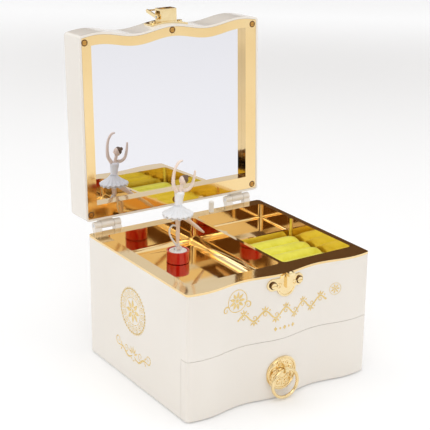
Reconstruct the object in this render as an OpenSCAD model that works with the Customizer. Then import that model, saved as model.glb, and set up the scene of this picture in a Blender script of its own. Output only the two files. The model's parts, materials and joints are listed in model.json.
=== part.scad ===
// Wind up music box: a wavy fronted case with a drawer, a hinged mirror lid and a turning dancer.
// Units are millimetres. X runs right, Y runs back, Z runs up. The origin is under the middle of the case.

/* [Case] */
// Width of the case
body_w = 150; // [148:1:152]
// Depth of the case without its waves
body_d = 134; // [132:1:136]
// Height of the waves on the front
wave = 1.9; // [1.5:0.1:2.1]
// Wall thickness
wall = 2.2; // [2:0.1:2.4]

/* [Lid] */
// Thickness of the lid
lid_t = 26; // [25:1:28]
// Angle at which the open lid stands
lid_open = 91.7; // [85:0.1:92]

/* [Dancer] */
// Radius of the skirt
skirt_r = 11.6; // [10:0.1:11.6]

/* [Movement] */
// Number of tune pins in each ring of the cylinder
tune_pins = 3; // [2:1:4]

/* [Hidden] */
$fn = 48;

half_w = body_w / 2;
half_d = body_d / 2;
corner_r = 2.4;
body_z0 = 0.8;
seam_z = 44.5;
shell_top = 90.5;
rim_top = 92;
return_y = -59.8;
lid_z0 = 92.4;
lid_z1 = lid_z0 + lid_t;
hinge_y = half_d + 4.8;
hinge_z = 95.3;
hinge_x = [[-68, -46.5], [46.5, 68]];
cell_back = 57.5;
cell_front = -53;
floor_z = 73.5;
spindle_x = -23.5;
spindle_y = 27.5;
barrel_z = 26;
cylinder_z = 50;
gov_angle = -20;
gov_x = spindle_x + 23 * cos(gov_angle);
gov_z = barrel_z + 23 * sin(gov_angle);
fan_x = gov_x + 11.8;
fan_y = 34.75;
plunger_x = 27.5;
plunger_y = 61.8;
fold_z = 83.4;
latch_x = 2;
hasp_y = -half_d - 6;
hasp_z = 104.5;
hasp_lean = 78;
pull_x = 0.5;
pull_y = -half_d - 6.2;
pull_z = 22.7;

ivory = [0.93, 0.91, 0.85];
gold = [0.86, 0.72, 0.42];
steel = [0.75, 0.76, 0.78];

// Front line of the case: five half waves across the width
function front_y(x) = -half_d - wave * sin(900 * (x + half_w) / body_w);
function arc(cx, cy, r, a0, a1, n) = [for (i = [0:n]) [cx + r * cos(a0 + (a1 - a0) * i / n),
                                                       cy + r * sin(a0 + (a1 - a0) * i / n)]];

// Outline of the case drawn in by t, anticlockwise
function outline(t) =
  let (r = max(corner_r - t, 0.4), x = half_w - t - r, fy = front_y(x) + t + r, n = 52)
  concat(
    arc(-x, fy, r, 180, 270, 4),
    [for (i = [1:n - 1]) let (u = -x + 2 * x * i / n) [u, front_y(u) + t]],
    arc(x, fy, r, 270, 360, 4),
    arc(x, half_d - t - r, r, 0, 90, 4),
    arc(-x, half_d - t - r, r, 90, 180, 4));

module slab(t, z0, z1) { translate([0, 0, z0]) linear_extrude(z1 - z0) polygon(outline(t)); }
module box(a, b) { translate(a) cube(b - a); }
module ycyl(x, z, y0, y1, r) { translate([x, y1, z]) rotate([90, 0, 0]) cylinder(h = y1 - y0, r = r); }
module xcyl(y, z, x0, x1, r) { translate([x0, y, z]) rotate([0, 90, 0]) cylinder(h = x1 - x0, r = r); }
module zcyl(x, y, z0, z1, r) { translate([x, y, z0]) cylinder(h = z1 - z0, r = r); }

// A profile of [y, z] points carried along X from x0 to x1
module along_x(x0, x1, pts) {
  translate([x0, 0, 0]) rotate([90, 0, 90]) linear_extrude(x1 - x0) polygon(pts);
}
// A profile of [x, z] points carried along Y from y0 to y1
module along_y(y0, y1, pts) {
  translate([0, y1, 0]) rotate([90, 0, 0]) linear_extrude(y1 - y0) polygon(pts);
}
// A strip that follows the front waves between x0 and x1, from depth a to depth b in front of them
module wave_strip(x0, x1, a, b, z0, z1) {
  n = 14;
  xs = [for (i = [0:n]) x0 + (x1 - x0) * i / n];
  translate([0, 0, z0]) linear_extrude(z1 - z0)
    polygon(concat([for (x = xs) [x, front_y(x) - a]], [for (i = [n:-1:0]) [xs[i], front_y(xs[i]) - b]]));
}
// Round bar between two points with a ball at its end
module limb(a, b, r1, r2) {
  d = b - a;
  len = norm(d);
  translate(a) rotate([0, acos(d[2] / len), atan2(d[1], d[0])]) cylinder(h = len, r1 = r1, r2 = r2);
  translate(b) sphere(r = r2 * 1.06);
}
// Lid pieces are drawn shut and swung open about the hinge
module opened() {
  translate([0, hinge_y, hinge_z]) rotate([-lid_open, 0, 0]) translate([0, -hinge_y, -hinge_z]) children();
}
// Screw along Y with its head towards the back
module back_screw(x, z, y, len, r, head_r) {
  difference() {
    union() {
      ycyl(x, z, y - len, y, r);
      ycyl(x, z, y, y + 1.2, head_r);
    }
    box([x - head_r, y + 0.7, z - 0.3], [x + head_r, y + 2, z + 0.3]);
  }
}

// Involute spur gear of module m, with a 25 degree flank and room between the teeth
function inv(a) = tan(a) * 180 / PI - a;
function flank(rb, r) = r <= rb ? 0 : inv(acos(rb / r));
function gear_pts(n, m, slack) =
  let (rp = n * m / 2, rb = rp * cos(25), ra = rp + 0.8 * m, rr = rp - 1.05 * m,
       half = 90 / n - slack / rp * 90 / PI + flank(rb, rp),
       rs = [for (i = [0:5]) max(rb, rr) + (ra - max(rb, rr)) * i / 5])
  [for (k = [0:n - 1]) let (c = 360 * k / n)
    each concat([[rr * cos(c - half), rr * sin(c - half)]],
                [for (r = rs) let (a = c - half + flank(rb, r)) [r * cos(a), r * sin(a)]],
                [for (i = [5:-1:0]) let (r = rs[i], a = c + half - flank(rb, r)) [r * cos(a), r * sin(a)]],
                [[rr * cos(c + half), rr * sin(c + half)]])];
module ygear(x, z, y0, y1, n, m, turn) {
  translate([x, y1, z]) rotate([90, 0, 0]) rotate([0, 0, turn])
    linear_extrude(y1 - y0) polygon(gear_pts(n, m, 0.16));
}

/* Case */
// Outer case: full ring above the seam, three walls below it
module case_shell() {
  color(ivory) difference() {
    union() {
      difference() {
        slab(0, body_z0, shell_top);
        slab(wall, body_z0 - 1, shell_top + 1);
      }
      for (s = [-1, 1]) box([s * 69.4 - 3.4, 57.6, 3], [s * 69.4 + 3.4, half_d - wall + 0.2, 40]);
      for (p = movement_fix) ycyl(p[0], p[1], 63, half_d - wall + 0.2, 3.2);
    }
    box([-half_w - 1, -half_d - 10, 0], [half_w + 1, return_y + 0.3, seam_z]);
    ycyl(spindle_x, barrel_z, half_d - 5, half_d + 1, 4.2);
    for (p = movement_fix) ycyl(p[0], p[1], 60, half_d + 1, 1.4);
    for (x = hinge_fix) ycyl(x, 82, half_d - 5, half_d + 1, 1);
    for (x = [latch_x - 11, latch_x + 11]) ycyl(x, 85, -half_d - 5, -half_d + 5, 0.9);
    for (x = [-69.4, 69.4]) zcyl(x, 61, 0, 12.2, 1.1);
  }
}
movement_fix = [[-48, 10], [-48, 60], [16, 60]];
hinge_fix = [-63, -51.5, 51.5, 63];

module base_panel() {
  color(ivory) difference() {
    box([-half_w + wall + 0.1, return_y + 0.6, body_z0], [half_w - wall - 0.1, half_d - wall - 0.1, 2.8]);
    for (x = [-69.4, 69.4], y = [-50, 61]) {
      zcyl(x, y, 0, 2, 2.6);
      zcyl(x, y, 0, 4, 1.1);
    }
  }
}
module base_screws() {
  color(steel) for (x = [-69.4, 69.4], y = [-50, 61]) {
    zcyl(x, y, 0.9, 2, 2.5);
    zcyl(x, y, 2, 12, 1.1);
  }
}
module felt_feet() {
  color([0.4, 0.38, 0.36]) for (p = [[-58, -48], [58, -48], [-58, 52], [58, 52], [0, 0]])
    zcyl(p[0], p[1], 0, body_z0, 7);
}
// Shelf over the drawer, with the tab that stops the drawer
module drawer_deck() {
  color(ivory) {
    difference() {
      slab(wall + 0.1, 45.2, 46.7);
      box([-80, 14, 40], [80, 80, 50]);
    }
    box([-10, -41, 38], [10, -39.6, 45.3]);
  }
}
module drawer_runners() {
  color(ivory) for (s = [-1, 1]) mirror([s < 0 ? 1 : 0, 0, 0]) difference() {
    along_y(return_y + 0.8, 15, [[58, 2.8], [72.7, 2.8], [72.7, 14], [66.3, 14], [66.3, 3.4], [58, 3.4]]);
    zcyl(69.4, -50, 2, 12.2, 1.1);
  }
}

// Hollow of one cell: flat floor, walls that meet it in a curve
module cell(x0, x1, y0, y1, z0, r) {
  top = rim_top + 1;
  intersection() {
    along_y(y0, y1, concat([[x0, top]], arc(x0 + r, z0 + r, r, 180, 270, 5),
                           arc(x1 - r, z0 + r, r, 270, 360, 5), [[x1, top]]));
    along_x(x0, x1, concat([[y0, top]], arc(y0 + r, z0 + r, r, 180, 270, 5),
                           arc(y1 - r, z0 + r, r, 270, 360, 5), [[y1, top]]));
    translate([0, 0, z0]) linear_extrude(top - z0)
      polygon(concat(arc(x0 + 3, y0 + 3, 3, 180, 270, 5), arc(x1 - 3, y0 + 3, 3, 270, 360, 5),
                     arc(x1 - 3, y1 - 3, 3, 0, 90, 5), arc(x0 + 3, y1 - 3, 3, 90, 180, 5)));
  }
}
// One piece tray: rim, long cell on the left, two cells on the right
module tray() {
  skin = 1.2;
  color(gold) difference() {
    union() {
      slab(0, shell_top, rim_top);
      box([-65 - skin, cell_front - skin, floor_z - skin], [10.5, cell_back + skin, shell_top + 0.5]);
      box([9.5, cell_front - skin, floor_z - skin], [70.5 + skin, 18 + skin, shell_top + 0.5]);
      box([9.5, 18, 81 - skin], [70.5 + skin, cell_back + skin, shell_top + 0.5]);
    }
    difference() {
      cell(-65, 8.7, cell_front, cell_back, floor_z, 4);
      along_y(-60, 60, concat([[12, 70], [12, 79.5], [8.7, 79.5]],
                              arc(1, 81.2, 7.7, 347, 270, 6), [[1, 70]]));
    }
    cell(11.4, 70.5, cell_front, 18, floor_z, 1.5);
    cell(11.4, 70.5, 20, cell_back, 81, 1.5);
    box([12.9, 17, 83], [69, 21, rim_top + 1]);
    zcyl(spindle_x, spindle_y, 70, 80, 3.03);
    zcyl(plunger_x, plunger_y, 85, 95, 2.08);
  }
}
// Five padded rolls that hold rings between them
module ring_cushion() {
  rolls = 5;
  y0 = cell_front + 1.1;
  y1 = 17.2;
  pitch = (y1 - y0) / rolls;
  crown = [for (k = [0:rolls - 1], i = [0:9]) let (u = -0.96 + 1.92 * i / 9)
    [y0 + pitch * (k + 0.5 + u / 2), 74.9 + 3.1 * pow(1 - u * u, 0.5)]];
  color([0.78, 0.74, 0.2]) along_x(12.3, 69.6, concat([[y0, 73.85]], [[y1, 73.85]],
                                                      [for (i = [len(crown) - 1:-1:0]) crown[i]]));
}
// Catch: screwed plate with a lobe below and a hook that stands above it
module catch_plate() {
  color(gold) difference() {
    union() {
      intersection() {
        wave_strip(latch_x - 15, latch_x + 15, 0.03, 1.2, 70, 95);
        union() {
          ycyl(latch_x, 83.5, -90, -50, 8);
          box([latch_x - 12, -90, 81.2], [latch_x + 12, -50, 89.3]);
          for (s = [-1, 1]) ycyl(latch_x + s * 11, 85, -90, -50, 4);
        }
      }
      along_x(latch_x - 1.5, latch_x + 3.5, [[-70, 82], [-72.1, 82.6], [-71.7, 90.6], [-74.2, 91.1],
                                             [-74.2, 92.6], [-73.4, 93.2], [-70.7, 93.2], [-70.6, 89.5],
                                             [-70, 89]]);
    }
    for (s = [-1, 1]) ycyl(latch_x + s * 11, 85, -90, -50, 0.95);
  }
}
module catch_screws() {
  color(gold) for (s = [-1, 1]) {
    y = front_y(latch_x + s * 11) - 1.75;
    difference() {
      union() {
        ycyl(latch_x + s * 11, 85, y, y + 6, 0.9);
        ycyl(latch_x + s * 11, 85, y - 1, y, 2.1);
      }
      box([latch_x + s * 11 - 3, y - 2, 84.7], [latch_x + s * 11 + 3, y - 0.5, 85.3]);
    }
  }
}

/* Hinges */
knuckle = 2.8;
function hinge_parts(p) = [[p[0], p[0] + 5.4], [p[1] - 5.4, p[1]]];
module hinge_blocks() {
  y = half_d;
  color(ivory) difference() {
    union() {
      for (p = hinge_x) {
        box([p[0], y, 76], [p[1], y + 2, 91.4]);
        for (q = hinge_parts(p)) {
          xcyl(hinge_y, hinge_z, q[0], q[1], knuckle);
          along_x(q[0], q[1], [[y + 0.2, 84], [y + 1.6, 80], [y + 7.4, 94], [y + 4, 97], [y + 1.3, 92.2],
                               [y + 0.2, 91.2]]);
        }
      }
    }
    for (p = hinge_x) xcyl(hinge_y, hinge_z, p[0] - 1, p[1] + 1, 1.2);
    for (x = hinge_fix) ycyl(x, 82, y - 1, y + 3, 1);
    for (x = hinge_fix) ycyl(x, 82, y + 2, y + 12, 2.2);
  }
}
module hinge_block_screws() {
  color(steel) for (x = hinge_fix) back_screw(x, 82, half_d + 2, 4.5, 1, 2);
}
module hinge_pins() {
  color(steel) for (p = hinge_x) xcyl(hinge_y, hinge_z, p[0] + 0.1, p[1] - 0.1, 1.2);
}
// Lid leaves, drawn with the lid shut: a plate on the back of the lid and the middle knuckle
module hinge_leaves() {
  y = half_d;
  color(ivory) opened() difference() {
    for (p = hinge_x) {
      x0 = p[0] + 5.7;
      x1 = p[1] - 5.7;
      union() {
        box([p[0] + 1, y, 99], [p[1] - 1, y + 2, 114]);
        xcyl(hinge_y, hinge_z, x0, x1, knuckle);
        along_x(x0, x1, [[y + 0.2, 101], [y + 0.2, 96], [y + 4, 93.5], [y + 7.3, 96], [y + 2, 103]]);
      }
    }
    for (p = hinge_x) xcyl(hinge_y, hinge_z, p[0] - 1, p[1] + 1, 1.27);
    for (x = hinge_fix) ycyl(x, 108, y - 1, y + 3, 1);
  }
}
module leaf_screws() { color(steel) opened() for (x = hinge_fix) back_screw(x, 108, half_d + 2, 4.5, 1, 2); }

/* Lid */
frame_fix = [[-71, 62.2], [70, 62.2], [0, 62.2], [-71, -62.5], [70, -62.5], [0, -64.8]];
// Opening of the frame, with the same waves along its front edge
function window(t) = let (x0 = -66 - t, x1 = 64 + t, n = 40)
  concat(
    [for (i = [0:n]) let (x = x0 + (x1 - x0) * i / n) [x, front_y(x) + 8.5 - t]],
    [[x1, 55.5 + t], [x0, 55.5 + t]]);
module pane(t, z0, z1) { translate([0, 0, z0]) linear_extrude(z1 - z0) polygon(window(t)); }
lid_round = 3.6;
// Cap of the lid: outlines that draw in as they climb the rounded edge, closed by fans
module lid_top() {
  rings = [for (i = [0:6]) let (a = 90 * i / 6)
    [lid_round * (1 - cos(a)), lid_z1 - lid_round + lid_round * sin(a)]];
  base = outline(0);
  n = len(base);
  last = len(rings) - 1;
  pts = concat(
    [for (ring = rings) for (p = base)
      [p[0] * (half_w - ring[0]) / half_w, p[1] * (half_d - ring[0]) / half_d, ring[1]]],
    [[0, 0, lid_z1 - lid_round], [0, 0, lid_z1]]);
  low = n * len(rings);
  faces = concat(
    [for (i = [0:n - 1]) [low, i, (i + 1) % n]],
    [for (k = [0:last - 1], i = [0:n - 1]) [k * n + i, (k + 1) * n + i, (k + 1) * n + (i + 1) % n]],
    [for (k = [0:last - 1], i = [0:n - 1]) [k * n + i, (k + 1) * n + (i + 1) % n, k * n + (i + 1) % n]],
    [for (i = [0:n - 1]) [low + 1, last * n + (i + 1) % n, last * n + i]]);
  color(ivory) opened() polyhedron(pts, faces, convexity = 4);
}
module lid_shell() {
  color(ivory) opened() difference() {
    slab(0, lid_z0, lid_z1 - lid_round);
    slab(1.6, lid_z0 - 1, 94.2);
    difference() {
      slab(4.4, 94, lid_z1);
      for (p = frame_fix) zcyl(p[0], p[1], 94, lid_z1, 3);
    }
    for (p = frame_fix) zcyl(p[0], p[1], 93, 103, 0.9);
    for (x = hinge_fix) ycyl(x, 108, half_d - 5, half_d + 1, 1);
    for (s = [-1, 1]) ycyl(latch_x + s * 11.5, hasp_z, -half_d - 9, -half_d + 2.5, 0.9);
  }
}
// Gold frame round the mirror: flat rim and a deep inner edge
module lid_frame() {
  color(gold) opened() difference() {
    union() {
      slab(1.7, lid_z0, 94.15);
      pane(1.6, 94, 97.7);
    }
    pane(0, lid_z0 - 1, 100);
    for (p = frame_fix) {
      zcyl(p[0], p[1], lid_z0 - 1, 93.4, 1.75);
      zcyl(p[0], p[1], lid_z0 - 1, 95, 1);
    }
  }
}
module lid_mirror() { color([0.8, 0.82, 0.84]) opened() pane(1.6, 97.72, 99.2); }
module mirror_backing() { color([0.5, 0.4, 0.3]) opened() pane(1.6, 99.22, 101); }
module frame_screws() {
  color(gold) opened() for (p = frame_fix) difference() {
    union() {
      zcyl(p[0], p[1], lid_z0 - 0.15, 93.4, 1.7);
      zcyl(p[0], p[1], 93.4, 102, 0.9);
    }
    box([p[0] - 2, p[1] - 0.25, lid_z0 - 1], [p[0] + 2, p[1] + 0.25, lid_z0 + 0.4]);
  }
}
// Latch: plate on the lid's front edge with a box shaped bracket that carries the hasp
module latch_plate() {
  color(gold) opened() difference() {
    union() {
      wave_strip(latch_x - 15, latch_x + 15, 0.03, 1.2, 98.5, 110.5);
      box([latch_x - 6.5, -79, 100.2], [latch_x + 6.5, -69.6, 108.7]);
      for (s = [-1, 1]) ycyl(latch_x + s * 11.5, hasp_z, front_y(latch_x + s * 11.5) - 2.2, -68, 2);
    }
    box([latch_x - 4.7, -80, 101.7], [latch_x + 4.7, -71.2, 107.2]);
    box([latch_x - 8, -77.4, 101.7], [latch_x + 8, -75.2, 107.2]);
    xcyl(hasp_y, hasp_z, latch_x - 9, latch_x + 9, 0.94);
    for (s = [-1, 1]) ycyl(latch_x + s * 11.5, hasp_z, -90, -60, 0.94);
  }
}
module latch_pin() {
  color(steel) opened() {
    xcyl(hasp_y, hasp_z, latch_x - 8.4, latch_x + 8.4, 0.9);
    for (s = [-1, 1]) ycyl(latch_x + s * 11.5, hasp_z, -69.4, -65.5, 0.9);
  }
}
// Swinging loop of flat strip that drops over the hook
module hasp_loop() {
  arm = 14.4;
  color(gold) opened() translate([latch_x, hasp_y, hasp_z]) rotate([180 - hasp_lean, 0, 0]) difference() {
    union() {
      for (s = [-1, 1]) {
        box([s * 7.6 - 0.6, 0, -1.3], [s * 7.6 + 0.6, arm, 1.3]);
        xcyl(0, 0, s * 7.6 - 0.6, s * 7.6 + 0.6, 1.9);
      }
      box([-8.2, arm - 0.5, -0.5], [8.2, arm + 0.7, 0.5]);
    }
    xcyl(0, 0, -9, 9, 0.97);
  }
}

/* Drawer */
module drawer_front() {
  color(ivory) difference() {
    union() {
      difference() {
        slab(0, 1, seam_z - 0.3);
        slab(2.4, 0, seam_z);
      }
      for (x = [-40, 40]) ycyl(x, 24, -65.5, -62.65, 3.5);
    }
    box([-80, return_y, 0], [80, 80, 60]);
    ycyl(pull_x, pull_z, -80, -60, 1.6);
  }
}
module drawer_box() {
  color(ivory) difference() {
    box([-66, -62.6, 3.5], [66, 12, 40]);
    box([-64.4, -61, 5.1], [64.4, 10.8, 41]);
  }
}
module drawer_lining() { color([0.7, 0.6, 0.5]) box([-64.2, -60.8, 5.15], [64.2, 10.6, 5.75]); }
// Round plate with raised rings behind the pull
module escutcheon() {
  color(gold) difference() {
    intersection() {
      wave_strip(pull_x - 13, pull_x + 13, 0.03, 1.2, 5, 33);
      ycyl(pull_x, 19, -90, -50, 12.2);
    }
    ycyl(pull_x, pull_z, -90, -50, 1.63);
  }
}
module pull_stud() {
  color(gold) difference() {
    union() {
      ycyl(pull_x, pull_z, pull_y, -64.5, 1.6);
      xcyl(pull_y, pull_z, pull_x - 1.5, pull_x + 1.5, 2.4);
    }
    xcyl(pull_y, pull_z, pull_x - 3, pull_x + 3, 1.32);
  }
}
module pull_ring() {
  ring_r = 10.3;
  wire = 1.1;
  color(gold) translate([pull_x, pull_y, pull_z - ring_r]) rotate([90, 0, 0])
    rotate_extrude($fn = 72) translate([ring_r, 0]) circle(r = wire, $fn = 24);
}

/* Dancer */
module dancer_base() {
  color([0.75, 0.08, 0.06]) difference() {
    translate([spindle_x, spindle_y, 0]) rotate_extrude($fn = 72)
      polygon([[0, 75], [5.2, 75], [5.2, 73.9], [8.3, 73.9], [8.3, 82.4], [7.2, 82.4], [7.2, 81.6], [0, 81.6]]);
    zcyl(spindle_x, spindle_y, 70, 79, 1.5);
  }
}
// White disc with the two ears that carry the dancer's foot
module dancer_disc() {
  x = spindle_x;
  color(ivory) difference() {
    union() {
      zcyl(x, spindle_y, 81.6, 82.1, 6.4);
      for (s = [-1, 1]) box([x + s * 2.1 - 0.6, spindle_y - 1.2, 82], [x + s * 2.1 + 0.6, spindle_y + 1.2, 84.6]);
    }
    xcyl(spindle_y, fold_z, x - 4, x + 4, 0.52);
  }
}
module spindle() { color(steel) zcyl(spindle_x, spindle_y, 54.6, 79, 1.5); }
// Crown gear: eighteen slim teeth that point down into the pinion
module crown_gear() {
  teeth = 18;
  color([0.9, 0.9, 0.85]) translate([spindle_x, spindle_y, 0]) difference() {
    union() {
      translate([0, 0, 57]) cylinder(h = 2.2, r = 10.2);
      translate([0, 0, 59]) cylinder(h = 3, r = 3.2);
      for (i = [0:teeth - 1]) rotate([0, 0, 90 + 360 * i / teeth]) translate([8.5, 0, 0]) rotate([90, 0, 90])
        linear_extrude(1) polygon([[-0.9, 57.2], [-0.1, 55.35], [0.1, 55.35], [0.9, 57.2]]);
    }
    translate([0, 0, 50]) cylinder(h = 20, r = 1.5);
  }
}
// Figure: she stands on one leg, with both arms raised and one foot held out to the side
module dancer_figure() {
  x = spindle_x;
  y = spindle_y;
  color([0.95, 0.8, 0.7]) {
      limb([x, y, 90.02], [x, y, 97], 1, 1.2);
      limb([x, y, 97], [x, y, 110], 1.2, 1.7);
      limb([x + 1.4, y + 1, 109], [x + 14, y + 4, 99], 1.6, 1.2);
      limb([x + 14, y + 4, 99], [3, y + 7, 88.3], 1.2, 0.7);
      limb([x, y, 110], [x + 0.3, y, 117], 2.7, 2.1);
      limb([x + 0.3, y, 117], [x + 1.4, y, 125], 2.1, 2.7);
      limb([x + 1.4, y, 125], [x + 3, y, 130], 1.3, 1.1);
      translate([x + 4.2, y, 134.2]) sphere(r = 3.5);
      limb([x - 0.8, y, 126], [x - 4, y - 0.5, 137], 1.1, 0.9);
      limb([x - 4, y - 0.5, 137], [x + 0.9, y - 1, 151], 0.9, 0.6);
      limb([x + 3.6, y, 126], [x + 11, y - 0.5, 128], 1.1, 0.9);
      limb([x + 11, y - 0.5, 128], [-9.3, y - 1, 138.6], 0.9, 0.6);
  }
}
// Lower leg with the eye that turns on the fold pin
module dancer_foot() {
  x = spindle_x;
  y = spindle_y;
  color([0.95, 0.8, 0.7]) difference() {
    union() {
      xcyl(y, fold_z, x - 1.3, x + 1.3, 1.25);
      translate([x, y, fold_z]) cylinder(h = 90 - fold_z, r1 = 0.8, r2 = 1);
    }
    xcyl(y, fold_z, x - 4, x + 4, 0.56);
  }
}
module fold_pin() { color(steel) xcyl(spindle_y, fold_z, spindle_x - 3, spindle_x + 3, 0.52); }
module dancer_skirt() {
  color([0.97, 0.97, 0.97]) translate([spindle_x, spindle_y, 0]) difference() {
    rotate_extrude($fn = 72) polygon([[0, 110], [skirt_r, 108.6], [skirt_r, 109.6], [5, 112.8], [3.2, 115], [0, 115]]);
    translate([0, 0, 100]) cylinder(h = 20, r = 2.75);
    translate([0, 0, 108]) cylinder(h = 3.4, r = 4.6);
  }
}

/* Movement */
module spindle_bush() {
  color([0.8, 0.65, 0.35]) difference() {
    union() {
      zcyl(spindle_x, spindle_y, 64, 74, 3);
      zcyl(spindle_x, spindle_y, floor_z + 0.02, 74.4, 4.6);
    }
    zcyl(spindle_x, spindle_y, 60, 80, 1.56);
  }
}
pillars = [[-47, 7], [-47, 38], [-2, 5.4], [0.5, 46]];
module bedplate() {
  color(gold) difference() {
    box([-52, 61, 3.2], [20, 63, 66]);
    ycyl(spindle_x, barrel_z, 60, 64, 2.57);
    ycyl(spindle_x, cylinder_z, 60, 64, 1.57);
    ycyl(gov_x, gov_z, 60, 64, 1.07);
    for (p = movement_fix) ycyl(p[0], p[1], 60, 64, 1.4);
  }
}
module movement_screws() {
  color(steel) for (p = movement_fix) back_screw(p[0], p[1], half_d, 5.8, 1.4, 3);
}
module front_plate() {
  color(gold) difference() {
    box([-52, 30, 3.2], [4.6, 31.5, 53.5]);
    ycyl(spindle_x, barrel_z, 29, 32, 2.57);
    ycyl(spindle_x, cylinder_z, 29, 32, 1.57);
    ycyl(gov_x, gov_z, 29, 32, 1.07);
  }
}
module plate_pillars() { color(gold) for (p = pillars) ycyl(p[0], p[1], 31.5, 61, 1.9); }
module comb_base() {
  color([0.6, 0.6, 0.62]) difference() {
    box([-49, 43.5, 42], [-39, 61, 49.55]);
    for (y = comb_fix) zcyl(-44.5, y, 44, 50, 0.8);
  }
}
comb_fix = [46.5, 54.5];
comb_teeth = 16;
module comb() {
  pitch = 14 / comb_teeth;
  color(steel) difference() {
    box([-49, 43.6, 49.6], [spindle_x - 8.1, 57.6, 50.4]);
    for (i = [1:comb_teeth - 1]) box([-39.5, 43.6 + pitch * i - 0.15, 49], [-31, 43.6 + pitch * i + 0.15, 51]);
    for (y = comb_fix) zcyl(-44.5, y, 49, 51, 0.85);
  }
}
module comb_screws() {
  color(gold) for (y = comb_fix) {
    zcyl(-44.5, y, 44.5, 50.42, 0.8);
    zcyl(-44.5, y, 50.42, 51.8, 1.9);
  }
}
// Frame that holds the fan upright
module governor_bracket() {
  color(gold) difference() {
    union() {
      box([16, 32, 4.5], [17.5, 61, 47]);
      box([6, 32, 4.5], [16.2, 37.5, 6]);
      box([6, 32, 45.5], [16.2, 37.5, 47]);
    }
    box([15, 39, 11], [19, 56, 41]);
    zcyl(fan_x, fan_y, 3, 7, 0.86);
    zcyl(fan_x, fan_y, 44, 48, 0.86);
  }
}
module governor_wheel() {
  color([0.9, 0.9, 0.85]) {
    ycyl(gov_x, gov_z, 30.2, 62.8, 1);
    ygear(gov_x, gov_z, 39.2, 41.4, 10, 1, 34);
    ygear(gov_x, gov_z, 34, 35.5, 24, 0.75, 0);
    ycyl(gov_x, gov_z, 35.5, 39.2, 2.6);
  }
}
// Four start worm, blades and the disc that the stop arm closes on
module fan_spindle() {
  star = [for (i = [0:15]) let (a = 360 * i / 16) [(1.45 + 0.4 * cos(4 * a)) * cos(a), (1.45 + 0.4 * cos(4 * a)) * sin(a)]];
  color([0.9, 0.9, 0.85]) translate([fan_x, fan_y, 0]) {
    translate([0, 0, 4.7]) cylinder(h = 44, r = 0.8);
    translate([0, 0, 10]) linear_extrude(16, twist = -600, slices = 30) polygon(star);
    for (a = [0, 90]) rotate([0, 0, a]) box([-4.6, -0.5, 33], [4.6, 0.5, 43]);
    translate([0, 0, 48]) cylinder(h = 0.8, r = 3);
  }
}
module spring_barrel() {
  color(gold) difference() {
    union() {
      ygear(spindle_x, barrel_z, 39.1, 41.5, 36, 1, 0);
      ycyl(spindle_x, barrel_z, 41.5, 57, 15.5);
    }
    ycyl(spindle_x, barrel_z, 43.2, 58, 14.2);
    ycyl(spindle_x, barrel_z, 38, 60, 2.57);
  }
}
module barrel_lid() {
  color(gold) difference() {
    ycyl(spindle_x, barrel_z, 57.02, 58.2, 15.5);
    ycyl(spindle_x, barrel_z, 50, 60, 2.57);
  }
}
// Coiled mainspring, wound outwards from the arbor
module mainspring() {
  turns = 6;
  n = turns * 16;
  r0 = 3.6;
  r1 = 13.6;
  t = 0.5;
  path = [for (i = [0:n]) [r0 + (r1 - r0) * i / n, 360 * turns * i / n]];
  color(steel) translate([spindle_x, 56, barrel_z]) rotate([90, 0, 0]) linear_extrude(11.5)
    polygon(concat([for (p = path) [(p[0] + t) * cos(p[1]), (p[0] + t) * sin(p[1])]],
                   [for (i = [n:-1:0]) [path[i][0] * cos(path[i][1]), path[i][0] * sin(path[i][1])]]));
}
module winding_arbor() {
  color(steel) {
    ycyl(spindle_x, barrel_z, 29.8, 74, 2.5);
    ygear(spindle_x, barrel_z, 58.8, 60.4, 16, 0.8, 0);
  }
}
module winding_key() {
  color(steel) difference() {
    union() {
      ycyl(spindle_x, barrel_z, 68.4, 78, 3.6);
      translate([spindle_x, 82, barrel_z - 0.9]) linear_extrude(1.8) {
        for (s = [-1, 1]) translate([s * 6.5, 0]) circle(r = 6.5);
        translate([-3, -6]) square([6, 8]);
      }
    }
    ycyl(spindle_x, barrel_z, 60, 74, 2.5);
    for (s = [-1, 1]) zcyl(spindle_x + s * 7, 82, 20, 32, 3);
  }
}
module cylinder_arbor() {
  color(steel) {
    ycyl(spindle_x, cylinder_z, 30.2, 62.8, 1.5);
    ygear(spindle_x, cylinder_z, 34.9, 41.4, 12, 1, 15);
  }
}
// Tune cylinder with its pins set in rings along the barrel
module tune_cylinder() {
  rings = 7;
  color(gold) difference() {
    union() {
      ycyl(spindle_x, cylinder_z, 43, 58, 7);
      for (k = [0:rings - 1], i = [0:tune_pins - 1])
        translate([spindle_x, 44.6 + 2 * k, cylinder_z])
          rotate([0, 360 * i / tune_pins + 47 * k + 20, 0]) cylinder(h = 7.6, r = 0.35, $fn = 16);
    }
    ycyl(spindle_x, cylinder_z, 40, 60, 1.5);
  }
}

/* Stop */
module plunger_guide() {
  x = plunger_x;
  y = plunger_y;
  color(ivory) difference() {
    union() {
      zcyl(x, y, 74, 79, 2.9);
      box([x - 6, half_d - wall - 1.6, 74], [x + 6, half_d - wall - 0.05, 79]);
      box([x - 6, y - 3.4, 48.4], [x + 6, half_d - wall - 0.05, 50]);
    }
    zcyl(x, y, 73, 80, 2.07);
    zcyl(x, y, 45, 55, 1.27);
  }
}
module stop_plunger() {
  color(ivory) {
    zcyl(plunger_x, plunger_y, 62, 99.9, 2);
    translate([plunger_x, plunger_y, 99.9]) cylinder(h = 0.6, r1 = 2, r2 = 1.4);
    zcyl(plunger_x, plunger_y, 44, 62, 1.2);
  }
}
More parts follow.
